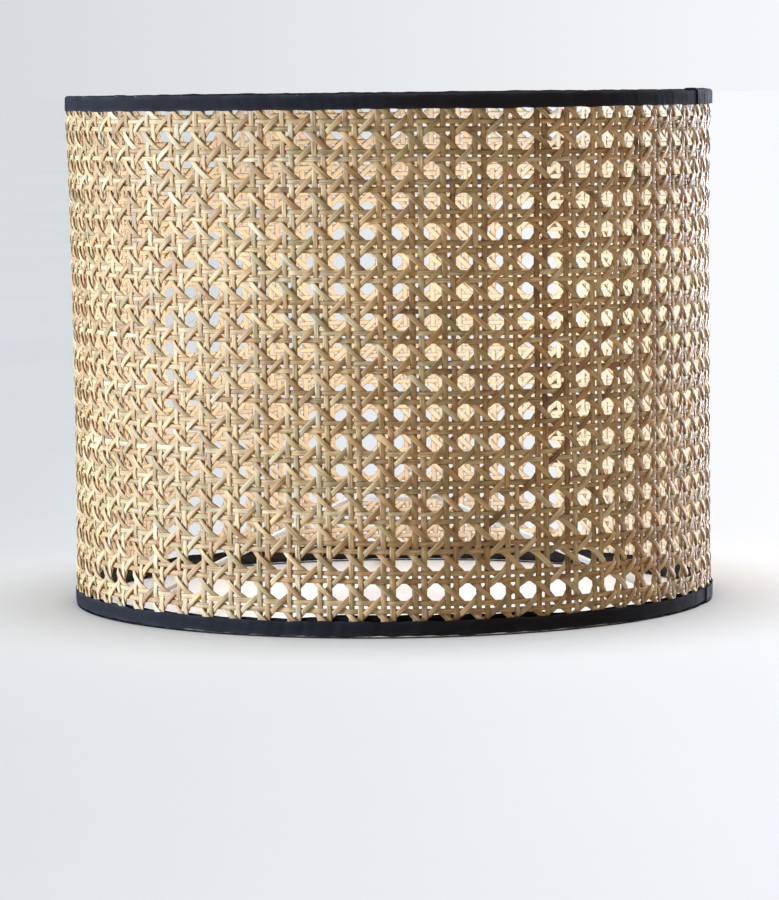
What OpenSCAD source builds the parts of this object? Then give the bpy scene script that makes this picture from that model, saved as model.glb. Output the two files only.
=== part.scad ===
// Drum lamp shade of open-weave cane webbing on a welded wire frame, bound top and bottom with cloth tape.
// Millimetres, +Z up. The origin is the middle of the fitter ring's bore, where the shade sits on its lamp.
// Angles round the shade are counted from the front, -Y, towards +X.

/* [Shade] */
// Height over both tapes
shade_h = 300; // [260:5:340]
// Diameter of the cane wall at the top rim
top_wall_d = 382; // [340:1:420]
// Diameter of the cane wall at the bottom rim
bottom_wall_d = 379; // [340:1:420]
// How far the wall is drawn in between the rims
waist = 1.1; // [0:0.1:3]
// Thickness of the webbing where its strands cross
wall_t = 2.4; // [1.6:0.1:3]

/* [Weave] */
// Meshes of the weave round the shade
mesh_columns = 67; // [56:1:76]
// Where the two ends of the webbing overlap
seam_angle = 147; // [120:1:240]

/* [Wire frame] */
// Thickness of the hoop wire in both rims
hoop_wire_d = 4.5; // [3:0.1:5]
// Thickness of the wire of the three arms
arm_wire_d = 3.6; // [2.5:0.1:4]
// Height of the fitter ring above the bottom edge
fitter_h = 60; // [45:1:75]
// Diameter of the hole for the lampholder
fitter_bore_d = 42; // [40:0.5:44]
// Outside diameter of the fitter ring
fitter_d = 60; // [56:1:66]
// Thickness of the fitter ring
fitter_t = 2; // [1.5:0.1:3]
// Direction of the arm at the front left
first_arm_angle = -57; // [-70:1:-50]

/* [Tape] */
// Thickness of the binding tape
tape_t = 0.6; // [0.4:0.1:1]
// Height of the flap outside the wall
outer_flap_h = 8.5; // [7:0.5:12]
// Height of the flap inside the wall, top rim
top_inner_flap_h = 8; // [7.5:0.5:14]
// Height of the flap inside the wall, bottom rim
bottom_inner_flap_h = 9; // [7.5:0.5:14]
// Length over which the two ends of a tape overlap
tape_lap = 18; // [10:1:30]
// Where the top tape's ends overlap
top_lap_angle = 72; // [0:1:360]
// Where the bottom tape's ends overlap
bottom_lap_angle = 77; // [0:1:360]

/* [Hidden] */
$fn = 180;

z_bottom = -fitter_h;
z_top = shade_h - fitter_h;
hoop_r = hoop_wire_d / 2;
arm_r = arm_wire_d / 2;

// The wall is straight behind each tape and drawn in between them
rim_h = 12;
function wall_r(z) =
    let (share = (z - z_bottom) / shade_h,
         u = min(1, max(0, (z - z_bottom - rim_h) / (shade_h - 2 * rim_h))))
    bottom_wall_d / 2 + share * (top_wall_d - bottom_wall_d) / 2 - waist * (1 - pow(2 * u - 1, 4));

// Hoops lie inside the wall, one tape thickness in from the edge; slack keeps curved faces from overlapping
slack = 0.06;
top_hoop_z = z_top - tape_t - hoop_r - slack;
bottom_hoop_z = z_bottom + tape_t + hoop_r + slack;
top_hoop_r = wall_r(z_top - rim_h) - wall_t - hoop_r - slack;
bottom_hoop_r = wall_r(z_bottom) - wall_t - hoop_r - slack;

// Arms: straight wires that fall from the fitter ring's edge to the top of the bottom hoop
arm_angles = [first_arm_angle, first_arm_angle + 120, first_arm_angle + 240];
foot_inset = 1;
foot_rise = 2.9;
arm_start = [fitter_d / 2 - 1, 0, 0];
arm_end = [bottom_hoop_r - foot_inset, 0, bottom_hoop_z + foot_rise];
arm_length = norm(arm_end - arm_start);
fall_angle = acos((arm_end.x - arm_start.x) / arm_length);

// Lays out a shape drawn along +X so that it points in a direction round the shade
module facing(angle) {
    rotate([0, 0, angle - 90]) children();
}

// The wire of one arm along +X; extra thickens it to cut room for itself
module arm_wire(extra = 0) {
    translate(arm_start) rotate([0, 90 + fall_angle, 0]) cylinder(r = arm_r + extra, h = arm_length, $fn = 48);
}

// One arm, its ends shaped to the fitter ring's edge and to the hoop
module arm(angle) {
    difference() {
        facing(angle) arm_wire();
        translate([0, 0, -10]) cylinder(d = fitter_d, h = 20);
        hoop(bottom_hoop_r, bottom_hoop_z);
    }
}

module hoop(r, z) {
    translate([0, 0, z]) rotate_extrude($fn = 360) translate([r, 0]) circle(r = hoop_r, $fn = 48);
}

module top_ring() {
    color("silver") hoop(top_hoop_r, top_hoop_z);
}

module bottom_ring() {
    color("silver") hoop(bottom_hoop_r, bottom_hoop_z);
}

module fitter_ring() {
    color("whitesmoke") difference() {
        translate([0, 0, -fitter_t / 2]) cylinder(d = fitter_d, h = fitter_t);
        translate([0, 0, -fitter_t]) cylinder(d = fitter_bore_d, h = 2 * fitter_t);
    }
}

module arm_left() {
    color("whitesmoke") arm(arm_angles[0]);
}

module arm_right() {
    color("whitesmoke") arm(arm_angles[1]);
}

module arm_back() {
    color("whitesmoke") arm(arm_angles[2]);
}

// Fillets of weld metal on both sides of each arm, against the fitter ring's edge
weld_r = 1.5;
function beside_arm(side) = [0, side * (arm_r + 0.1), 0];
module fitter_weld(side) {
    difference() {
        translate([fitter_d / 2, 0, 0] + beside_arm(side)) sphere(r = weld_r, $fn = 48);
        translate([0, 0, -10]) cylinder(d = fitter_d, h = 20);
        arm_wire();
    }
}

module fitter_welds() {
    color("gainsboro") for (angle = arm_angles) facing(angle) for (side = [-1, 1]) fitter_weld(side);
}

// Fillets on both sides of each arm's foot, on top of the bottom hoop
foot_bead_offset = [-0.6, 0, -0.9];
module foot_bead(side, extra = 0) {
    translate(arm_end + foot_bead_offset + beside_arm(side)) sphere(r = weld_r + extra, $fn = 48);
}

module foot_weld(side) {
    difference() {
        foot_bead(side);
        hoop(bottom_hoop_r, bottom_hoop_z);
        arm_wire();
    }
}

module foot_welds() {
    color("gainsboro") for (angle = arm_angles) facing(angle) for (side = [-1, 1]) foot_weld(side);
}

// Heights at which the wall's outline has a point
wall_steps = 12;
wall_z0 = z_bottom + tape_t;
wall_z1 = z_top - tape_t;
wall_heights = [
    wall_z0,
    for (i = [0 : wall_steps]) z_bottom + rim_h + i * (shade_h - 2 * rim_h) / wall_steps,
    wall_z1
];

// Outline of the webbing: up its outer face and down its inner face
wall_outline = concat(
    [for (z = wall_heights) [wall_r(z), z]],
    [for (i = [len(wall_heights) - 1 : -1 : 0]) [wall_r(wall_heights[i]) - wall_t, wall_heights[i]]]
);

// The end of the webbing that laps behind the start, one mesh wide, clear of the hoops and tapes
// Bite is how far a second layer is let into the first, so that the two are one solid
lap_gap = 15;
bite = 0.1;
lap_heights = [for (z = wall_heights) if (z > z_bottom + lap_gap && z < z_top - lap_gap) z];
lap_outline = concat(
    [for (z = lap_heights) [wall_r(z) - wall_t + bite, z]],
    [for (i = [len(lap_heights) - 1 : -1 : 0]) [wall_r(lap_heights[i]) - 2 * wall_t, lap_heights[i]]]
);
mesh_angle = 360 / mesh_columns;

// Turns a shape through part of a circle, with the middle of that part at the given angle
module sector(angle, width) {
    rotate([0, 0, angle - 90 - width / 2]) rotate_extrude(angle = width) children();
}

module cane_webbing() {
    color("burlywood") {
        rotate_extrude() polygon(wall_outline);
        sector(seam_angle, mesh_angle) polygon(lap_outline);
    }
}

// A strip of even thickness along a path: both of its faces, joined into one outline
function path_normal(path, i) =
    let (before = path[max(0, i - 1)], after = path[min(len(path) - 1, i + 1)], along = after - before)
    [-along.y, along.x] / norm(along);
function strip(path, t) = concat(
    [for (i = [0 : len(path) - 1]) path[i] + path_normal(path, i) * t / 2],
    [for (i = [len(path) - 1 : -1 : 0]) path[i] - path_normal(path, i) * t / 2]
);
function arc(centre, r, from, to, steps) =
    [for (i = [0 : steps]) let (a = from + (to - from) * i / steps) centre + r * [cos(a), sin(a)]];

// The tape's middle line for a top rim: up the outside, level over the edge, round the hoop and down inside.
// Heights are counted down from the rim's edge.
edge_r = 1.2;
flat_inset = 0.5;
under_hoop_angle = 235;
function tape_path(wall_outer, hoop, inner_flap) =
    let (outside = wall_outer + slack + tape_t / 2,
         inside = wall_outer - wall_t - slack - tape_t / 2,
         hoop_drop = -(tape_t + hoop_r + slack))
    concat(
        [[outside, -outer_flap_h]],
        arc([outside - edge_r, -tape_t / 2 - edge_r], edge_r, 0, 90, 4),
        [[outside - edge_r - flat_inset, -tape_t / 2], [hoop + flat_inset, -tape_t / 2]],
        arc([hoop, hoop_drop], hoop_r + slack + tape_t / 2, 90, under_hoop_angle, 12),
        [[inside, -inner_flap + 2], [inside, -inner_flap]]
    );

module tape_section(wall_outer, hoop, inner_flap) {
    polygon(strip(tape_path(wall_outer, hoop, inner_flap), tape_t));
}

// The overlapping end is a second layer on the outside, a little narrower than the flap
lap_margin = 0.8;
module lap_section(wall_outer) {
    translate([wall_outer + slack + tape_t - bite, lap_margin - outer_flap_h])
        square([tape_t + bite, outer_flap_h - 2 * lap_margin]);
}

module tape_loop(wall_outer, hoop, inner_flap, lap_angle) {
    lap_width = tape_lap / wall_outer * 180 / PI;
    rotate_extrude() tape_section(wall_outer, hoop, inner_flap);
    sector(lap_angle, lap_width) lap_section(wall_outer);
}

module top_tape() {
    color([0.12, 0.12, 0.14])
    translate([0, 0, z_top]) tape_loop(wall_r(z_top - rim_h), top_hoop_r, top_inner_flap_h, top_lap_angle);
}

// The bottom tape is the same loop turned over, slit where each arm's foot passes through it
slit_room = 0.25;
module bottom_tape() {
    color([0.12, 0.12, 0.14]) difference() {
        translate([0, 0, z_bottom]) mirror([0, 0, 1])
            tape_loop(wall_r(z_bottom), bottom_hoop_r, bottom_inner_flap_h, bottom_lap_angle);
        for (angle = arm_angles) facing(angle) {
            arm_wire(slit_room);
            for (side = [-1, 1]) foot_bead(side, slit_room);
        }
    }
}

top_ring();
bottom_ring();
fitter_ring();
arm_left();
arm_right();
arm_back();
fitter_welds();
foot_welds();
cane_webbing();
top_tape();
bottom_tape();
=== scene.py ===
"""Drum lamp shade of open-weave cane webbing, bound with black tape, on a welded wire frame.

Metres, row frame: +Z up, the origin in the fitter ring's bore, the front towards -Y.
Angles round the shade are counted from the front towards +X.
"""
import math

import bpy
import numpy as np
from mathutils import Matrix, Vector


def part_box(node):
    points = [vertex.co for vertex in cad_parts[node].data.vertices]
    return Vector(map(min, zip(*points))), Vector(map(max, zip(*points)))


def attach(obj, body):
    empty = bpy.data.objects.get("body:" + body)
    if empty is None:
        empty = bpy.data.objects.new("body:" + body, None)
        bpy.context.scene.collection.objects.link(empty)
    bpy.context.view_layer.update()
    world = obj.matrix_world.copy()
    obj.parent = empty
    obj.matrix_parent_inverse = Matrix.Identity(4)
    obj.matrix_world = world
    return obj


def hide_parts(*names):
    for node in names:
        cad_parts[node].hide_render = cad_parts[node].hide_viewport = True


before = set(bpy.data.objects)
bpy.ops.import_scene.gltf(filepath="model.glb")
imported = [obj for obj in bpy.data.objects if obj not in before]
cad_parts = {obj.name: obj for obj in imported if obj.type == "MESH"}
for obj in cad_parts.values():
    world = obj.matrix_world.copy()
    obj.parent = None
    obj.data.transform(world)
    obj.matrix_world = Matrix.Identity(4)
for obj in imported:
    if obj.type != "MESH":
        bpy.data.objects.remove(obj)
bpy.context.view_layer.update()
MM = 0.001

# ---------------------------------------------------------------- places from the CAD
Z_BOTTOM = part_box("bottom_tape")[0][2]
Z_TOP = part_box("top_tape")[1][2]
# As in the CAD: thickness of the webbing, the hoops' wire, and the tapes with their outer flap and lap
WALL_T = 2.4 * MM
HOOP_WIRE_R = 2.25 * MM
TAPE_T = 0.6 * MM
OUTER_FLAP = 8.5 * MM
TAPE_LAP = 18 * MM
# The bottom tape's edge isn't quite even, so the shade stands on its lowest points
FLOOR_Z = Z_BOTTOM - 0.9 * MM


def cad_points(name):
    """The vertices of a CAD node as an array."""
    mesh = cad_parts[name].data
    flat = np.empty(len(mesh.vertices) * 3)
    mesh.vertices.foreach_get("co", flat)
    return flat.reshape(-1, 3)


def cad_wall():
    """Heights and outer radii of the CAD webbing, from its own vertices."""
    points = cad_points("cane_webbing")
    radii = np.hypot(points[:, 0], points[:, 1])
    levels = np.unique(points[:, 2].round(5))
    outer = [radii[abs(points[:, 2] - level) < 0.02 * MM].max() for level in levels]
    return levels, np.array(outer)


WALL_Z, WALL_R = cad_wall()


def wall_r(z):
    """Outer radius of the webbing at a height."""
    return np.interp(z, WALL_Z, WALL_R)


def hoop_radius(name):
    """Radius of a hoop to the middle of its wire."""
    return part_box(name)[1][0] - HOOP_WIRE_R


# ---------------------------------------------------------------- camera and stage
# Place and turn of the camera, fitted to the outline of the shade in the photo
LENS_MM = 163.4
CAMERA_BACK = 2.435
CAMERA_OVER_RIM = 6.8 * MM
PITCH_DOWN, ROLL, YAW = math.radians(5.159), math.radians(0.66), math.radians(0.041)


def make_camera():
    data = bpy.data.cameras.new("photo_camera")
    data.lens, data.sensor_width = LENS_MM, 36
    data.clip_start, data.clip_end = 0.05, 200
    camera = bpy.data.objects.new("photo_camera", data)
    place = Matrix.Translation((0, -CAMERA_BACK, Z_TOP + CAMERA_OVER_RIM))
    aim = Matrix.Rotation(YAW, 4, "Z") @ Matrix.Rotation(math.pi / 2 - PITCH_DOWN, 4, "X")
    camera.matrix_world = place @ aim @ Matrix.Rotation(-ROLL, 4, "Z")
    bpy.context.scene.collection.objects.link(camera)
    bpy.context.scene.camera = camera


make_camera()


# ---------------------------------------------------------------- small helpers
def linear(red, green, blue):
    """A colour given as 0-255 sRGB, in scene-linear values."""
    s = np.array([red, green, blue]) / 255
    return np.where(s <= 0.04045, s / 12.92, ((s + 0.055) / 1.055) ** 2.4)


def polar(r, angle, z):
    """Points from radius, angle in radians and height."""
    return np.stack([r * np.sin(angle), -r * np.cos(angle), z + 0 * angle], axis=-1)


def unit(v):
    return v / np.linalg.norm(v, axis=-1, keepdims=True)


def run_along(line):
    """Distance along a line of points from its start to each of them."""
    return np.concatenate([[0], np.cumsum(np.linalg.norm(np.diff(line, axis=0), axis=1))])


def grid_uv(along, across):
    """Texture places for a grid of points that has a row for each value of along."""
    return np.stack(np.broadcast_arrays(along[:, None], across), axis=-1).reshape(-1, 2)


def smooth(x, low, high):
    """0 below low, 1 above high, with a soft ramp between."""
    t = np.clip((np.asarray(x) - low) / (high - low), 0, 1)
    return t * t * (3 - 2 * t)


def waves(rng, x, length):
    """A smooth random line along x, of about unit height, whose longest wave is length."""
    total, size = 0 * x, 0.0
    for octave in range(3):
        wave, weight = length / 1.9**octave * rng.uniform(0.8, 1.25), 1 / 1.6**octave
        total = total + np.sin(2 * math.pi * (x / wave + rng.random())) * weight
        size += weight
    return total / size * 1.5


def swell(x, middle, reach):
    """A smooth bump of height 1."""
    return np.exp(-(((x - middle) / reach) ** 2))


def spell(x, low, high, soft):
    """1 between low and high, fading out over soft at each end."""
    return smooth(x, low - soft, low) * (1 - smooth(x, high, high + soft))


def from_front(angle):
    """Degrees from the front, -180 to 180, of an angle in radians."""
    return (np.degrees(angle) + 180) % 360 - 180


def turning_waves(rng, angle, counts):
    """A smooth random line round the shade that meets itself; counts are waves per turn."""
    total = 0 * angle
    for count in counts:
        total = total + np.sin(count * angle + rng.uniform(0, 2 * math.pi)) * rng.uniform(0.5, 1)
    return total / math.sqrt(len(counts))


def make_mesh(name, verts, faces, uv_name=None, uv=None, attributes=None):
    """A smooth-shaded mesh object from arrays. uv and attributes are given by vertex; an attribute
    with four values is a colour, and one with a single value is a number."""
    mesh = bpy.data.meshes.new(name)
    mesh.from_pydata(verts.tolist(), [], faces)
    mesh.update()
    if uv_name:
        layer = mesh.uv_layers.new(name=uv_name)
        corners = np.empty(len(mesh.loops), dtype=np.int32)
        mesh.loops.foreach_get("vertex_index", corners)
        layer.data.foreach_set("uv", uv[corners].astype(np.float32).ravel())
    for key, values in (attributes or {}).items():
        kind = "FLOAT_COLOR" if values.shape[-1] == 4 else "FLOAT"
        made = mesh.attributes.new(key, kind, "POINT")
        field = "color" if kind == "FLOAT_COLOR" else "value"
        made.data.foreach_set(field, values.astype(np.float32).ravel())
    mesh.shade_smooth()
    piece = bpy.data.objects.new(name, mesh)
    bpy.context.scene.collection.objects.link(piece)
    return piece


# ---------------------------------------------------------------- material helpers
def new_material(name):
    mat = bpy.data.materials.new(name)
    mat.use_nodes = True
    return mat, mat.node_tree, mat.node_tree.nodes["Principled BSDF"]


def put(tree, kind, inputs=None, **settings):
    """Adds a node; an input is a value, or the socket that feeds it."""
    made = tree.nodes.new("ShaderNode" + kind)
    for key, value in settings.items():
        setattr(made, key, value)
    for key, value in (inputs or {}).items():
        if isinstance(value, bpy.types.NodeSocket):
            tree.links.new(value, made.inputs[key])
        else:
            made.inputs[key].default_value = value
    return made


def maths(tree, operation, *values):
    return put(tree, "Math", dict(enumerate(values)), operation=operation).outputs[0]


def scaled(tree, vector, scale):
    made = put(tree, "VectorMath", {0: vector, 1: scale}, operation="MULTIPLY")
    return made.outputs[0]


def noise(tree, vector, scale, detail=3.0, roughness=0.55):
    inputs = {"Vector": vector, "Scale": scale, "Detail": detail, "Roughness": roughness}
    return put(tree, "TexNoise", inputs).outputs[0]


def spread(tree, value, low, high, to_low=0.0, to_high=1.0):
    """Value from low..high mapped to to_low..to_high, held at the ends."""
    inputs = {"Value": value, "From Min": low, "From Max": high, "To Min": to_low, "To Max": to_high}
    return put(tree, "MapRange", inputs).outputs[0]


def mixed(tree, share, first, second, blend="MIX"):
    """A colour between two; each is a socket or three linear numbers."""
    made = put(tree, "Mix", data_type="RGBA", blend_type=blend)
    for index, value in {0: share, 6: first, 7: second}.items():
        socket = made.inputs[index]
        if isinstance(value, bpy.types.NodeSocket):
            tree.links.new(value, socket)
        else:
            socket.default_value = value if np.isscalar(value) else (*value, 1.0)
    return made.outputs[2]


def bump(tree, height, strength, distance, below=None):
    inputs = {"Height": height, "Strength": strength, "Distance": distance}
    if below is not None:
        inputs["Normal"] = below
    return put(tree, "Bump", inputs).outputs[0]


def link(tree, socket, target):
    tree.links.new(socket, target)


def cane_material():
    """Peeled rattan: long fibres, a smooth bark side and a paler, rougher pith side, coloured by strand
    through the dye attribute. bark is 1 on the bark side and 0 on the pith side. The strands' side edges
    are painted darker as painted shade, and the pith side is paler cane painted paler still, partly as
    painted light from the lamp inside."""
    mat, tree, skin = new_material("cane")
    strand = put(tree, "UVMap", uv_map="strand").outputs[0]
    dye = put(tree, "Attribute", attribute_name="dye").outputs[0]
    bark = put(tree, "Attribute", attribute_name="bark").outputs[2]
    fibres = noise(tree, scaled(tree, strand, (45, 1300, 0)), 1.0, 4.0, 0.62)
    pores = noise(tree, scaled(tree, strand, (420, 6400, 0)), 1.0, 2.0)
    blotches = noise(tree, scaled(tree, strand, (95, 140, 0)), 1.0, 3.0)
    streaks = spread(tree, fibres, 0.33, 0.67, 0.58, 1.25)
    grey = put(tree, "CombineColor", {0: streaks, 1: streaks, 2: streaks}).outputs[0]
    body = mixed(tree, 1.0, dye, grey, "MULTIPLY")
    stain = spread(tree, blotches, 0.55, 0.75, 0, 0.35)
    stained = mixed(tree, stain, body, linear(150, 112, 70), "MULTIPLY")
    splits = noise(tree, scaled(tree, strand, (22, 950, 0)), 1.0, 2.0, 0.7)
    split = mixed(tree, spread(tree, splits, 0.6, 0.68, 0, 0.45), stained, linear(96, 62, 34))
    # Painted shade: the strands' side edges are mixed towards dark brown, as the shadow where strands
    # meet.
    shaded_edges = mixed(tree, spread(tree, bark, 0.5, 0.98, 0.55, 0), split, linear(112, 74, 42))
    # The pith side is paler cane mixed far towards cream: partly its own tone, partly painted light from
    # the lamp inside.
    pale = mixed(tree, 0.65, stained, linear(234, 218, 193))
    pith = spread(tree, bark, 0.5, 0.1)
    link(tree, mixed(tree, pith, shaded_edges, pale), skin.inputs["Base Color"])
    smoothness = spread(tree, fibres, 0.3, 0.7, 0.46, 0.66)
    rough = maths(tree, "ADD", smoothness, spread(tree, bark, 0, 1, 0.28, 0))
    link(tree, rough, skin.inputs["Roughness"])
    skin.inputs["Specular IOR Level"].default_value = 0.24
    relief = maths(tree, "SUBTRACT", fibres, spread(tree, splits, 0.6, 0.68))
    grooves = bump(tree, relief, 0.7, 0.14 * MM)
    link(tree, bump(tree, pores, 0.3, 0.05 * MM, grooves), skin.inputs["Normal"])
    return mat


def tape_material():
    """Black cotton tape in a fine plain weave, with a little wear on its folded edges and a painted
    sheen on the folds by the lap.
    """
    mat, tree, skin = new_material("tape")
    lie = put(tree, "UVMap", uv_map="tape").outputs[0]
    along, across = put(tree, "SeparateXYZ", {0: lie}).outputs[:2]
    pitch = 2 * math.pi / (0.55 * MM)
    warp = maths(tree, "SINE", maths(tree, "MULTIPLY", along, pitch))
    weft = maths(tree, "SINE", maths(tree, "MULTIPLY", across, pitch))
    weave = maths(tree, "MULTIPLY", warp, weft)
    slubs = noise(tree, scaled(tree, lie, (240, 1500, 0)), 1.0, 3.0)
    clouds = noise(tree, scaled(tree, lie, (60, 90, 0)), 1.0, 3.0)
    lint = noise(tree, scaled(tree, lie, (2600, 2600, 0)), 1.0, 1.0)
    wear_and_sheen = put(tree, "Attribute", attribute_name="wear_and_sheen").outputs[2]
    cloth = mixed(tree, spread(tree, clouds, 0.3, 0.7), linear(29, 26, 27), linear(38, 35, 36))
    cloth = mixed(tree, spread(tree, weave, -1, 1, 0, 0.4), cloth, linear(46, 42, 42))
    cloth = mixed(tree, spread(tree, slubs, 0.6, 0.8, 0, 0.35), cloth, linear(50, 45, 43))
    # Lighter grey for wear on the tape's edges, and as painted sheen on the folds by the lap.
    cloth = mixed(tree, maths(tree, "MULTIPLY", wear_and_sheen, 0.25), cloth, linear(88, 86, 92))
    cloth = mixed(tree, spread(tree, lint, 0.74, 0.8, 0, 0.5), cloth, linear(118, 118, 124))
    link(tree, cloth, skin.inputs["Base Color"])
    link(tree, spread(tree, clouds, 0.3, 0.7, 0.78, 0.94), skin.inputs["Roughness"])
    skin.inputs["Specular IOR Level"].default_value = 0.04
    skin.inputs["Sheen Weight"].default_value = 0.03
    skin.inputs["Sheen Roughness"].default_value = 0.45
    skin.inputs["Sheen Tint"].default_value = (*linear(205, 198, 196), 1)
    threads = bump(tree, weave, 0.5, 0.1 * MM)
    link(tree, bump(tree, slubs, 0.4, 0.12 * MM, threads), skin.inputs["Normal"])
    return mat


def paint_material(name, peel, grit):
    """White powder coat on steel: orange peel, faint grime and a few darker specks."""
    mat, tree, skin = new_material(name)
    place = put(tree, "TexCoord").outputs["Object"]
    ripple = noise(tree, place, 900, 2.0)
    grime = noise(tree, place, 55, 4.0, 0.65)
    specks = noise(tree, place, 2400, 1.0)
    coat = mixed(tree, spread(tree, grime, 0.35, 0.75), linear(214, 216, 218), linear(182, 182, 178))
    coat = mixed(tree, spread(tree, specks, 0.7, 0.78, 0, 0.5), coat, linear(150, 146, 138))
    link(tree, coat, skin.inputs["Base Color"])
    link(tree, spread(tree, grime, 0.3, 0.7, 0.3, 0.46), skin.inputs["Roughness"])
    skin.inputs["Coat Weight"].default_value = 0.15
    coarse = bump(tree, grime, grit, 0.3 * MM)
    link(tree, bump(tree, ripple, peel, 0.08 * MM, coarse), skin.inputs["Normal"])
    return mat


def steel_material():
    """Drawn steel wire: brushed lines round the hoop, with faint rust."""
    mat, tree, skin = new_material("hoop_steel")
    place = put(tree, "TexCoord").outputs["Object"]
    lines = noise(tree, scaled(tree, place, (300, 300, 5000)), 1.0, 3.0)
    rust = noise(tree, place, 80, 4.0, 0.7)
    metal = mixed(tree, spread(tree, lines, 0.3, 0.7), linear(150, 152, 154), linear(182, 183, 184))
    metal = mixed(tree, spread(tree, rust, 0.6, 0.75, 0, 0.4), metal, linear(120, 84, 58))
    link(tree, metal, skin.inputs["Base Color"])
    skin.inputs["Metallic"].default_value = 0.9
    link(tree, spread(tree, rust, 0.4, 0.7, 0.32, 0.6), skin.inputs["Roughness"])
    link(tree, bump(tree, lines, 0.3, 0.04 * MM), skin.inputs["Normal"])
    return mat


def floor_material():
    """Matt pale studio floor, with a hardly visible mottle, its tone painted darker towards -X and
    lighter towards +X as painted light.
    """
    mat, tree, skin = new_material("studio_floor")
    place = put(tree, "TexCoord").outputs["Object"]
    mottle = noise(tree, place, 3, 3.0)
    tint = mixed(tree, spread(tree, mottle, 0.3, 0.7), linear(203, 208, 211), linear(207, 211, 214))
    # Painted light: the floor's tone goes from darker at -X to lighter at +X.
    across = put(tree, "SeparateXYZ", {0: place}).outputs[0]
    tint = mixed(tree, spread(tree, across, -0.3, 0.3), tint, linear(237, 238, 241))
    link(tree, tint, skin.inputs["Base Color"])
    skin.inputs["Roughness"].default_value = 0.9
    skin.inputs["Specular IOR Level"].default_value = 0.1
    return mat


# ---------------------------------------------------------------- the weave's lattice
# A strand's place is given as (u, v): meshes round the shade and rows up it. Pairs of
# vertical strands lie either side of whole u, pairs of level strands either side of whole v.
COLUMNS = 67
MESH_ANGLE = 2 * math.pi / COLUMNS
FIRST_PAIR = math.radians(-0.93)
ROW_H = 16.67 * MM
FIRST_ROW = Z_BOTTOM + 15.6 * MM
MIDDLE_R = 189.5 * MM
MESH_W = MIDDLE_R * MESH_ANGLE
# How far each strand of a pair lies from the pair's middle, in meshes or rows
UPRIGHT_SHIFT = 2.5 * MM / MESH_W
LEVEL_SHIFT = 2.15 * MM / ROW_H
# The strands end this far inside the tapes' edges
EDGE_TUCK = 2.4 * MM
V_LOW = (Z_BOTTOM + EDGE_TUCK - FIRST_ROW) / ROW_H
V_HIGH = (Z_TOP - EDGE_TUCK - FIRST_ROW) / ROW_H
# The webbing is a flat strip bent round. It starts at the back, and its last meshes lap
# behind its first ones, further in by LAP_DROP
LAP_MESHES = 1.25
LAP_DROP = 2.5 * MM
SHEET_START = (math.radians(143.0) - FIRST_PAIR) / MESH_ANGLE
SHEET_END = SHEET_START + COLUMNS + LAP_MESHES
RINGS_PER_MESH = 10
STRAND_T = 0.88 * MM
# How far a strand rises and falls from the webbing's middle as it goes over and under
STEP_OVER = 0.5 * MM
DIAGONAL_OVER = 1.25 * MM


def pair_weave(x):
    """Up after whole x and down before it, to about 1 at the crests: how one strand of a pair
    goes over and under."""
    return (np.sin(2 * math.pi * x) + 0.5 * np.sin(4 * math.pi * x)) / 1.28


def diagonal_weave(u):
    """Up at whole u and down halfway between, with flattened crests."""
    return np.tanh(1.9 * np.cos(2 * math.pi * u)) / math.tanh(1.9)


def lap_drop(u, z):
    """How far in the webbing lies: its last meshes pass behind the first, between the tapes."""
    behind = smooth(u, SHEET_START + COLUMNS - 0.9, SHEET_START + COLUMNS - 0.1)
    over_bottom_tape = smooth(z, Z_BOTTOM + 11 * MM, Z_BOTTOM + 17 * MM)
    under_top_tape = 1 - smooth(z, Z_TOP - 16 * MM, Z_TOP - 10 * MM)
    return LAP_DROP * behind * over_bottom_tape * under_top_tape


def under_tape(z):
    """1 where the tapes press the weave flat, 0 between them."""
    pressed, free = 5.5 * MM, 11 * MM
    by_bottom_tape = 1 - smooth(z, Z_BOTTOM + pressed, Z_BOTTOM + free)
    by_top_tape = smooth(z, Z_TOP - free, Z_TOP - pressed)
    return np.maximum(by_bottom_tape, by_top_tape)


def wall_wobble(angle, z):
    """The webbing's slight waviness, as a change of radius."""
    broad = np.sin(5 * angle + 9 * z) + np.sin(9 * angle - 21 * z + 1.3)
    return 0.22 * MM * (broad + np.sin(14 * angle + 2.1))


def sheet_angle(u):
    """Angle of a lattice place. The webbing isn't stretched evenly: its meshes are drawn to the
    left round the left side, and open up before 38 degrees and close again after it."""
    even = FIRST_PAIR + u * MESH_ANGLE
    at = from_front(even)
    return even + np.radians(1.05 * swell(at, 38, 12) - 1.4 * swell(at, -62, 32))


def sheet_height(u, v):
    """Height of a lattice place. Rows run slightly downhill to the right across the front,
    which lies a full turn on from angle 0, because the sheet starts at the back."""
    across_front = np.degrees(FIRST_PAIR + u * MESH_ANGLE) - 360
    return FIRST_ROW + v * ROW_H + (0.2 - np.tanh((across_front - 8) / 20)) * MM


def on_wall(u, v, relief):
    """Centre line of a strand, for lattice places and heights above the webbing's middle."""
    angle, z = sheet_angle(u), sheet_height(u, v)
    pressed = under_tape(z)
    middle = wall_r(z) - WALL_T / 2 - lap_drop(u, z)
    return polar(middle + relief * (1 - 0.5 * pressed) + wall_wobble(angle, z) * (1 - pressed), angle, z)


# Section of a strand, as shares of its width and thickness: a crowned bark side and a flat pith
# side. BARK_SIDE is how much of the bark side each point belongs to.
SECTION = np.array([(-0.5, -0.05), (-0.45, 0.36), (-0.22, 0.47), (0.22, 0.47),
                    (0.45, 0.36), (0.5, -0.05), (0.36, -0.45), (-0.36, -0.45)])
BARK_SIDE = np.array([0.5, 0.82, 1, 1, 0.82, 0.5, 0, 0])


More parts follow.
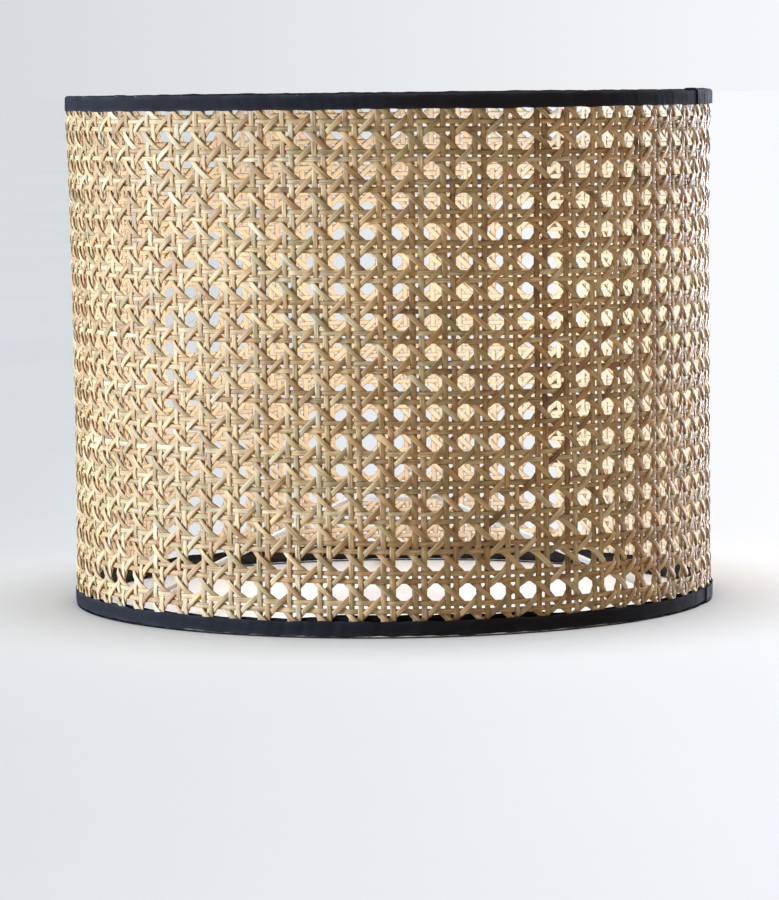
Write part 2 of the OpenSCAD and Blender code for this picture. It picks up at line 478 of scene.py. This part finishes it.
def sweep(line, width, thick, twist):
    """Rings of points that carry SECTION along a line, its bark side turned away from the axis."""
    along = unit(np.gradient(line, axis=0))
    out = unit(line * np.array([1, 1, 0]))
    across = unit(np.cross(along, out))
    out = np.cross(across, along)
    cosine, sine = np.cos(twist)[:, None], np.sin(twist)[:, None]
    side, up = across * cosine + out * sine, out * cosine - across * sine
    x = (SECTION[:, 0] * width[:, None])[..., None]
    y = (SECTION[:, 1] * thick[:, None])[..., None]
    return line[:, None] + side[:, None] * x + up[:, None] * y


def tube_faces(rings, first, points):
    """Quads between rings of points, and the two end caps; first is the first ring's first vertex."""
    base = first + np.arange(rings - 1)[:, None] * points + np.arange(points)
    side = first + np.arange(rings - 1)[:, None] * points + (np.arange(points) + 1) % points
    quads = np.stack([base, side, side + points, base + points], axis=-1).reshape(-1, 4)
    caps = [first + np.arange(points)[::-1], first + (rings - 1) * points + np.arange(points)]
    return quads[:, ::-1].tolist() + [cap[::-1].tolist() for cap in caps]


# Colours of cane in sRGB; most strands take two of COMMON, where a name that is repeated is likelier
PALETTE = {
    "cream": linear(213, 181, 132),
    "straw": linear(203, 162, 109),
    "tan": linear(184, 138, 87),
    "olive": linear(178, 148, 97),
    "rose": linear(200, 157, 103),
    "brown": linear(140, 97, 60),
    "umber": linear(108, 73, 46),
}
COMMON = ["cream", "straw", "straw", "straw", "tan", "tan", "olive", "rose"]


def strand_dye(rng, length, marks=()):
    """Colour along a strand: two shades that drift into each other, light and dark spells, and
    the cane's dark joints. marks are (share along the strand, shade) to lay over it."""
    first, second = (PALETTE[COMMON[i]] for i in rng.integers(0, len(COMMON), 2))
    share = smooth(waves(rng, length, 0.34), -0.7, 0.7)[:, None]
    colour = first * (1 - share) + second * share
    spells = 1 + 0.1 * waves(rng, length, 0.09) + 0.06 * waves(rng, length, 0.014)
    colour = colour * (spells * rng.uniform(0.9, 1.08))[:, None]
    joint = rng.uniform(0, 0.3)
    while joint < length[-1]:
        colour = colour * (1 - 0.45 * swell(length, joint, 1.6 * MM))[:, None]
        joint += rng.uniform(0.16, 0.42)
    for share, shade in marks:
        share = (share * np.clip(0.55 + 0.4 * waves(rng, length, 0.045), 0.1, 0.9))[:, None]
        colour = colour * (1 - share) + PALETTE[shade] * spells[:, None] * share
    return colour


class Family:
    """Strands that run the same way, gathered into one piece."""

    def __init__(self, name, seed, width):
        self.name, self.rng, self.width = name, np.random.default_rng(seed), width
        self.verts, self.faces, self.uv, self.dye, self.bark = [], [], [], [], []
        self.count = 0

    def add(self, u, v, relief, marks=()):
        """One strand along lattice places; relief is its height in the weave."""
        rng = self.rng
        line = on_wall(u, v, relief)
        length = run_along(line)
        width = self.width * (rng.normal(1, 0.045) + 0.045 * waves(rng, length, 0.05))
        thick = STRAND_T * (1 + 0.06 * waves(rng, length, 0.06))
        twist = math.radians(3.5) * waves(rng, length, 0.045) + rng.normal(0, math.radians(2))
        rings = sweep(line, width, thick, twist)
        colour = strand_dye(rng, length, marks)
        self.verts.append(rings.reshape(-1, 3))
        self.faces += tube_faces(len(line), self.count, len(SECTION))
        self.count += rings.shape[0] * rings.shape[1]
        # The texture is laid in metres along and round the strand, from a place of its own
        across = run_along(SECTION * (width.mean(), STRAND_T)) + rng.uniform(0, 5)
        start = rng.uniform(0, 50)
        self.uv.append(grid_uv(length + start, across))
        rgba = np.ones((*rings.shape[:2], 4))
        rgba[..., :3] = colour[:, None]
        self.dye.append(rgba.reshape(-1, 4))
        self.bark.append(np.broadcast_to(BARK_SIDE, rings.shape[:2]).reshape(-1, 1))

    def finish(self, material):
        attributes = {"dye": np.concatenate(self.dye), "bark": np.concatenate(self.bark)}
        piece = make_mesh(self.name, np.concatenate(self.verts), self.faces,
                          "strand", np.concatenate(self.uv), attributes)
        piece.data.materials.append(material)
        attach(piece, "root")
        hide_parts("cane_webbing")
        return piece


def drift_numbers(seed):
    """Random numbers for the drift of a family's strands, apart from those for their looks."""
    return np.random.default_rng(seed + 100)


def steps(low, high):
    """Even places between two lattice places, RINGS_PER_MESH to a mesh."""
    return np.linspace(low, high, max(3, int((high - low) * RINGS_PER_MESH) + 1))


def angle_of(u):
    """Degrees from the front, -180 to 180, of a lattice place."""
    return from_front(sheet_angle(u))


def over_bottom(v):
    """Millimetres above the shade's bottom edge of a lattice place."""
    return (FIRST_ROW + v * ROW_H - Z_BOTTOM) / MM


# Strands that stand out in the photo. Uprights: (angle, from and to in mm above the bottom, shade).
# Levels: (mm above the bottom, from and to in degrees, shade). Diagonals: (an angle and a height
# where the strand passes, from and to in mm above the bottom, shade).
MARKED_UPRIGHTS = [(26, 112, 300, "brown"), (31, 0, 106, "brown"), (46, 222, 300, "umber"),
                   (57.5, 120, 300, "brown"), (-14, 60, 190, "olive"), (-36, 0, 300, "cream")]
MARKED_LEVELS = [(181, -24, 62, "brown"), (253, -10, 70, "brown"), (146, 8, 66, "brown"),
                 (112, 0, 58, "tan"), (216, -30, 20, "olive"), (79, -60, -8, "olive")]
MARKED_RISING = [(28, 97, 40, 134, "umber"), (52, 200, 120, 270, "brown")]
MARKED_FALLING = [(33, 213, 138, 288, "umber"), (44, 213, 110, 280, "brown"),
                  (-20, 120, 30, 210, "olive")]
# A strand is the marked one when it passes this near the place given
UPRIGHT_NEAR_DEG, LEVEL_NEAR_MM, DIAGONAL_NEAR_DEG = 1.35, 2.4, 2.63


def upright_family(name, side, seed, material):
    """The left or right strand of each vertical pair, over one level strand and under the next."""
    family = Family(name, seed, 3.3 * MM)
    rng = drift_numbers(seed)
    first, last = math.ceil(SHEET_START + UPRIGHT_SHIFT), math.floor(SHEET_END - UPRIGHT_SHIFT)
    v = steps(V_LOW, V_HIGH)
    for pair in range(first, last + 1):
        drift = 0.2 * MM / MESH_W * (rng.normal(0, 0.7) + waves(rng, v, 9))
        place = pair + side * UPRIGHT_SHIFT
        marks = [(spell(over_bottom(v), low, high, 6), shade)
                 for at, low, high, shade in MARKED_UPRIGHTS
                 if abs(angle_of(place) - at) < UPRIGHT_NEAR_DEG]
        family.add(place + drift, v, -side * STEP_OVER * pair_weave(v), marks)
    return family.finish(material)


def level_family(name, side, seed, material):
    """The upper or lower strand of each level pair."""
    family = Family(name, seed, 2.85 * MM)
    rng = drift_numbers(seed)
    shift = side * LEVEL_SHIFT
    for row in range(math.ceil(V_LOW - shift), math.floor(V_HIGH - shift) + 1):
        u = steps(SHEET_START + rng.uniform(-0.06, 0.03), SHEET_END + rng.uniform(-0.03, 0.06))
        drift = 0.18 * MM / ROW_H * (rng.normal(0, 0.6) + waves(rng, u, 8))
        marks = [(spell(angle_of(u), low, high, 5), shade)
                 for at, low, high, shade in MARKED_LEVELS
                 if abs(over_bottom(row + shift) - at) < LEVEL_NEAR_MM]
        family.add(u, row + shift + drift, side * STEP_OVER * pair_weave(u), marks)
    return family.finish(material)


def diagonal_family(name, slope, seed, marked, material):
    """Strands that rise to the right (slope 1) or fall (slope -1), midway between the pairs.
    Each is the line v = slope * u + start, cut off at the sheet's edges."""
    shortest = 0.3
    family = Family(name, seed, 3.2 * MM)
    rng = drift_numbers(seed)
    reach = SHEET_END - SHEET_START
    lowest = V_LOW - slope * (SHEET_START if slope > 0 else SHEET_END)
    for line in range(math.floor(lowest - reach) - 1, math.ceil(lowest + reach + V_HIGH - V_LOW) + 2):
        start = line + 0.5
        ends = sorted(((V_LOW - start) * slope, (V_HIGH - start) * slope))
        low, high = max(ends[0], SHEET_START), min(ends[1], SHEET_END)
        if high - low < shortest:
            continue
        u = steps(low, high)
        drift = 0.15 * MM / ROW_H * (rng.normal(0, 0.7) + waves(rng, u, 7))
        v = slope * u + start + drift
        heights, angles = over_bottom(v), angle_of(u)
        upwards = np.argsort(heights)
        marks = [(spell(heights, mark_low, mark_high, 8), shade)
                 for at, height, mark_low, mark_high, shade in marked
                 if abs(np.interp(height, heights[upwards], angles[upwards]) - at) < DIAGONAL_NEAR_DEG]
        family.add(u, v, -slope * DIAGONAL_OVER * diagonal_weave(u), marks)
    return family.finish(material)


# ---------------------------------------------------------------- stray fibres
def stray_fibres(material):
    """Thin slivers that have lifted from the strands and curl over the holes or away from the wall."""
    fibres, rings, points = 150, 9, 4
    rng = np.random.default_rng(77)
    verts, faces, uv, dye = [], [], [], []
    t = np.linspace(0, 1, rings)
    for number in range(fibres):
        u, v = rng.uniform(SHEET_START, SHEET_START + COLUMNS), rng.uniform(V_LOW + 0.9, V_HIGH - 0.9)
        length = rng.gamma(3.0, 2.6) * MM
        heading = rng.choice([0.75, -0.75, 1.57, 0.0]) + rng.normal(0, 0.25) + rng.normal(0, 0.9) * t
        # The root lies on top of the weave, and the tips of some fibres stand well clear of it
        rise = (1.3 + rng.choice([0.5, 0.9, 4.5], p=[0.5, 0.35, 0.15]) * t**1.6) * MM
        du = np.cumsum(np.cos(heading)) * length / rings / MESH_W
        dv = np.cumsum(np.sin(heading)) * length / rings / ROW_H
        line = on_wall(u + du, v + dv, rise)
        along = unit(np.gradient(line, axis=0))
        side = unit(np.cross(along, np.array([0.3, 0.2, 0.9])))
        up = np.cross(side, along)
        radius = (rng.uniform(0.07, 0.13) * MM * (1 - 0.7 * t))[:, None]
        ring = [line + side * radius, line + up * radius, line - side * radius, line - up * radius]
        verts.append(np.stack(ring, axis=1).reshape(-1, 3))
        faces += tube_faces(rings, number * rings * points, points)
        uv.append(grid_uv(t * length + number, np.arange(points) * 0.1 * MM))
        shade = PALETTE[rng.choice(["cream", "straw", "brown", "umber"], p=[0.3, 0.3, 0.25, 0.15])]
        dye.append(np.tile([*shade, 1.0], (rings * points, 1)))
    attributes = {"dye": np.concatenate(dye), "bark": np.ones((fibres * rings * points, 1))}
    piece = make_mesh("cane_stray_fibres", np.concatenate(verts), faces,
                      "strand", np.concatenate(uv), attributes)
    piece.data.materials.append(material)
    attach(piece, "root")
    return piece


# ---------------------------------------------------------------- tapes
TAPE_STEPS = 1080
# The wall is straight this far from the top edge
RIM_H = 12 * MM


def arc(centre, r, start, end, count):
    """Points on an arc, angles in degrees."""
    a = np.radians(np.linspace(start, end, count))
    return np.stack([centre[0] + r * np.cos(a), centre[1] + r * np.sin(a)], axis=-1)


def tape_route(outer_r, hoop_r, inner_flap):
    """The cloth's middle line across its width, as (radius, height over the rim's edge): up
    outside the wall, over its edge, round the hoop and down inside."""
    half, gap, corner = TAPE_T / 2, 0.1 * MM, 1.3 * MM
    outside, inside = outer_r + half + gap, outer_r - WALL_T - half - gap
    flap = np.stack([np.full(7, outside), np.linspace(-OUTER_FLAP, -half - corner, 8)[:-1]], axis=-1)
    over = arc((outside - corner, -half - corner), corner, 0, 90, 6)
    round_hoop = arc((hoop_r, -(TAPE_T + HOOP_WIRE_R)), HOOP_WIRE_R + half, 90, 232, 12)
    inner = np.stack([np.full(4, inside), np.linspace(-inner_flap + 3 * MM, -inner_flap, 4)], axis=-1)
    return np.concatenate([flap, over, round_hoop, inner])


def uneven_edges(rng, angle, run, flap_share, inner_flap, longer):
    """How much further the cloth reaches from the rim, because its two free edges are uneven;
    longer is added to the inner flap at the front."""
    inner_share = smooth(run, run[-1] - inner_flap * 0.6, run[-1])
    outer = turning_waves(rng, angle, (5, 9, 14, 23, 41, 67, 95)) * 0.36 * MM
    inner = turning_waves(rng, angle, (4, 7, 13, 22, 37, 61)) * 0.45 * MM
    inner = inner + longer * spell(from_front(angle), -10, 22, 9)
    return outer[:, None] * flap_share * (0.4 + 0.6 * flap_share) + inner[:, None] * inner_share


def make_tape(name, node, hoop, up, lap_from, inner_flap, seed, material, longer=0.0):
    """A strip of cloth folded over a rim, its two ends lapped from the angle lap_from on; up is
    1 at the top and -1 at the bottom. Returns the piece, and the strip's width and length."""
    rng = np.random.default_rng(seed)
    edge_z, outer_r = (Z_TOP, wall_r(Z_TOP - RIM_H)) if up > 0 else (Z_BOTTOM, wall_r(Z_BOTTOM))
    route = tape_route(outer_r, hoop_radius(hoop), inner_flap)
    # run goes across the tape from its outer edge, and turn goes round it from its first end
    run = run_along(route)
    lap = TAPE_LAP / outer_r
    turn = np.linspace(0, 2 * math.pi + lap, TAPE_STEPS)
    angle = math.radians(lap_from) + turn
    # 1 on the outer flap, 0 beyond the rim's edge
    flap_share = 1 - smooth(run, OUTER_FLAP * 0.55, OUTER_FLAP * 1.15)
    shape = np.repeat(route[None], TAPE_STEPS, axis=0)
    shape[:, :, 1] -= uneven_edges(rng, angle, run, flap_share, inner_flap, longer)
    # Small folds by the lap, and puckers all round, which run aslant across the tape
    slant = rng.uniform(40, 70) * 0.12 * run / run[-1]
    folds = spell(np.degrees(turn), 0, 14, 6)[:, None]
    fold_line = np.sin(173 * angle + 2 * np.sin(31 * angle))[:, None]
    bulge = 0.16 * MM * folds * flap_share * fold_line
    for count, height in ((83, 0.08), (131, 0.08), (197, 0.06), (301, 0.04)):
        phase = rng.uniform(0, 2 * math.pi)
        spells = 0.5 + 0.5 * np.sin(rng.integers(3, 9) * angle + rng.uniform(0, 6))[:, None]
        bulge = bulge + height * MM * spells * np.sin(count * angle[:, None] + slant + phase)
    # The pairs of upright strands press through the flap
    pairs = np.cos((angle - FIRST_PAIR) * COLUMNS)[:, None]
    bulge = bulge + 0.12 * MM * smooth(pairs, 0.1, 1.0) * flap_share
    # The first end lies on top of the other, then the strip settles on the wall
    on_top = 1 - smooth(turn, lap * 1.02, lap * 3)
    pinch = swell(turn, 0, math.radians(1.1))
    bulge = bulge + (on_top * TAPE_T * 1.35 + pinch * 0.25 * MM)[:, None]
    # The outer edge stands off the wall a little
    bulge = bulge + 0.16 * MM * swell(run, 0, 1.3 * MM) * (0.6 + 0.4 * np.sin(17 * angle))[:, None]
    across = np.gradient(route, axis=0)
    outward = unit(np.stack([across[:, 1], -across[:, 0]], axis=-1))
    shape = shape + outward * bulge[..., None]
    # The folded edge is uneven too
    folded_edge = swell(run, OUTER_FLAP + 1.5 * MM, 3 * MM)
    edge_waves = turning_waves(rng, angle, (6, 11, 19, 33, 54, 89)) * 0.3 * MM
    shape[:, :, 1] += edge_waves[:, None] * folded_edge
    middle = polar(shape[:, :, 0], angle[:, None], edge_z + up * shape[:, :, 1])
    verts, faces = cloth_solid(middle, TAPE_T * 0.9, up)
    wear = swell(run, 0, 0.9 * MM) + 0.8 * swell(run, OUTER_FLAP, 1.6 * MM)
    wear_and_sheen = wear * (0.6 + 0.4 * np.sin(37 * angle))[:, None]
    # Painted sheen: the folds by the lap are painted lighter.
    wear_and_sheen = wear_and_sheen + folds * (0.7 + 0.3 * np.sin(173 * angle)[:, None])
    # The strip's end edge is painted lighter too.
    wear_and_sheen = np.maximum(wear_and_sheen, pinch[:, None] * 0.9).reshape(-1, 1)
    flat = grid_uv(angle * outer_r, run)
    piece = make_mesh(name, verts, faces, "tape", np.tile(flat, (2, 1)), {"wear_and_sheen": np.tile(wear_and_sheen, (2, 1))})
    piece.data.materials.append(material)
    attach(piece, "root")
    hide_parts(node)
    return piece, (float(run[-1]), float(2 * math.pi * outer_r + TAPE_LAP))


def cloth_solid(middle, thick, turn):
    """A closed thin sheet round a grid of points, thinner at its two long edges; turn is -1
    where the grid is mirrored, as on the bottom rim."""
    rows, count = middle.shape[:2]
    normal = unit(np.cross(np.gradient(middle, axis=0), np.gradient(middle, axis=1))) * turn
    taper = np.ones(count)
    taper[[0, -1]] = 0.55
    half = normal * (thick / 2 * taper)[None, :, None]
    verts = np.concatenate([(middle + half).reshape(-1, 3), (middle - half).reshape(-1, 3)])
    grid = np.arange(rows * count).reshape(rows, count)
    quads = np.stack([grid[:-1, :-1], grid[:-1, 1:], grid[1:, 1:], grid[1:, :-1]], axis=-1)
    quads = quads.reshape(-1, 4)
    other = quads[:, ::-1] + rows * count
    # The wall that joins the two faces goes once round the grid's border
    loop = np.concatenate([grid[:, 0], grid[-1, 1:], grid[-2::-1, -1], grid[0, -2:0:-1]])
    after = np.roll(loop, -1)
    wall = np.stack([loop, after, after + rows * count, loop + rows * count], axis=-1)
    faces = np.concatenate([quads, other, wall[:, ::-1]])
    if turn > 0:
        faces = faces[:, ::-1]
    return verts, faces.tolist()


# ---------------------------------------------------------------- lights and floor
def make_floor():
    """A pale round floor that runs out to the horizon, in rings that widen."""
    points, radii = 96, np.geomspace(0.4, 90, 14)
    angle = np.linspace(0, 2 * math.pi, points, endpoint=False)
    verts = np.concatenate([[[0, 0, FLOOR_Z]], *(polar(r, angle, FLOOR_Z) for r in radii)])
    sides = [(i, (i + 1) % points) for i in range(points)]
    faces = [[0, 1 + i, 1 + after] for i, after in sides]
    for ring in range(len(radii) - 1):
        inner = 1 + ring * points
        outer = inner + points
        faces += [[inner + i, outer + i, outer + after, inner + after] for i, after in sides]
    floor = make_mesh("studio_floor", verts, faces)
    floor.data.materials.append(floor_material())
    return floor


def add_light(name, kind, place, power, colour, size, aim=(0, 0, 0.09), only=None):
    """A light. size is an area light's two sides, a sun's angle or a point's radius; only is
    the pieces it lights, or None for all."""
    data = bpy.data.lights.new(name, kind)
    data.energy, data.color = power, colour
    if kind == "AREA":
        data.shape, data.size, data.size_y = "RECTANGLE", *size
    elif kind == "SUN":
        data.angle = size
    else:
        data.shadow_soft_size = size
    light = bpy.data.objects.new(name, data)
    light.location = place
    light.rotation_euler = (Vector(aim) - Vector(place)).to_track_quat("-Z", "Y").to_euler()
    light.visible_camera = False
    bpy.context.scene.collection.objects.link(light)
    if only:
        light.light_linking.receiver_collection = bpy.data.collections.new(name + "_lights")
        for piece in only:
            light.light_linking.receiver_collection.objects.link(piece)


def make_lights(cloth_and_cane, wires, floor):
    """A window at the left, another behind on the right, light from above, and the lamp's own
    glow. The windows don't light the floor, which keeps its tone even."""
    daylight, broad, down = (0.98, 0.99, 1.0), math.radians(40), (0, 0, 0)
    add_light("overhead", "SUN", (0, 0, 3), 3.08, daylight, broad, down)
    add_light("floor_light", "SUN", (0, 0, 3), 0.45, daylight, broad, down, [floor])
    shade = cloth_and_cane + wires
    add_light("window", "AREA", (-3.0, -0.58, 0.3), 300, (0.47, 0.67, 1.0), (1.5, 0.7), only=shade)
    add_light("back_right", "AREA", (1.95, 2.3, 0.35), 215, (0.70, 0.81, 1.0), (2.0, 0.8), only=shade)
    add_light("lamp_glow", "POINT", (0, 0, 0.12), 1.3, (1.0, 0.94, 0.84), 0.05, only=cloth_and_cane)


def make_world():
    """Soft fill for the object, and a brighter backdrop behind the floor's far edge."""
    world = bpy.data.worlds.new("studio")
    bpy.context.scene.world = world
    world.use_nodes = True
    tree = world.node_tree
    fill = tree.nodes["Background"]
    fill.inputs["Color"].default_value = (*linear(238, 243, 248), 1)
    fill.inputs["Strength"].default_value = 0.05
    across = put(tree, "SeparateXYZ", {0: put(tree, "TexCoord").outputs["Generated"]}).outputs[0]
    tint = mixed(tree, spread(tree, across, -0.11, 0.1), linear(212, 217, 220), linear(247, 248, 252))
    seen = put(tree, "Background", {"Color": tint, "Strength": 1.0}).outputs[0]
    path = put(tree, "LightPath").outputs["Is Camera Ray"]
    both = put(tree, "MixShader", {0: path, 1: fill.outputs[0], 2: seen})
    link(tree, both.outputs[0], tree.nodes["World Output"].inputs["Surface"])


# ---------------------------------------------------------------- build
cane = cane_material()
woven = [
    upright_family("cane_uprights_left", -1, 11, cane),
    upright_family("cane_uprights_right", 1, 12, cane),
    level_family("cane_levels_upper", 1, 13, cane),
    level_family("cane_levels_lower", -1, 14, cane),
    diagonal_family("cane_diagonals_rising", 1, 15, MARKED_RISING, cane),
    diagonal_family("cane_diagonals_falling", -1, 16, MARKED_FALLING, cane),
    stray_fibres(cane),
]

tape = tape_material()
top_cloth, top_cut = make_tape("top_tape_cloth", "top_tape", "top_ring", 1, 68, 8 * MM, 31, tape)
low_cloth, low_cut = make_tape("bottom_tape_cloth", "bottom_tape", "bottom_ring", -1, 74, 9 * MM, 32,
                              tape, longer=2.6 * MM)

frame_white = paint_material("frame_white", 0.35, 0.05)
weld_paint = paint_material("weld", 0.4, 0.5)
hoop_steel = steel_material()
FINISHES = {
    "top_ring": hoop_steel, "bottom_ring": hoop_steel, "fitter_ring": frame_white,
    "arm_left": frame_white, "arm_right": frame_white, "arm_back": frame_white,
    "fitter_welds": weld_paint, "foot_welds": weld_paint,
}
for node_name, finish in FINISHES.items():
    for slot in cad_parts[node_name].material_slots:
        slot.material = finish

floor = make_floor()
wires = [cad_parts[name] for name in FINISHES]
make_lights([*woven, top_cloth, low_cloth], wires, floor)
make_world()
bpy.context.scene.view_settings.view_transform = "Standard"
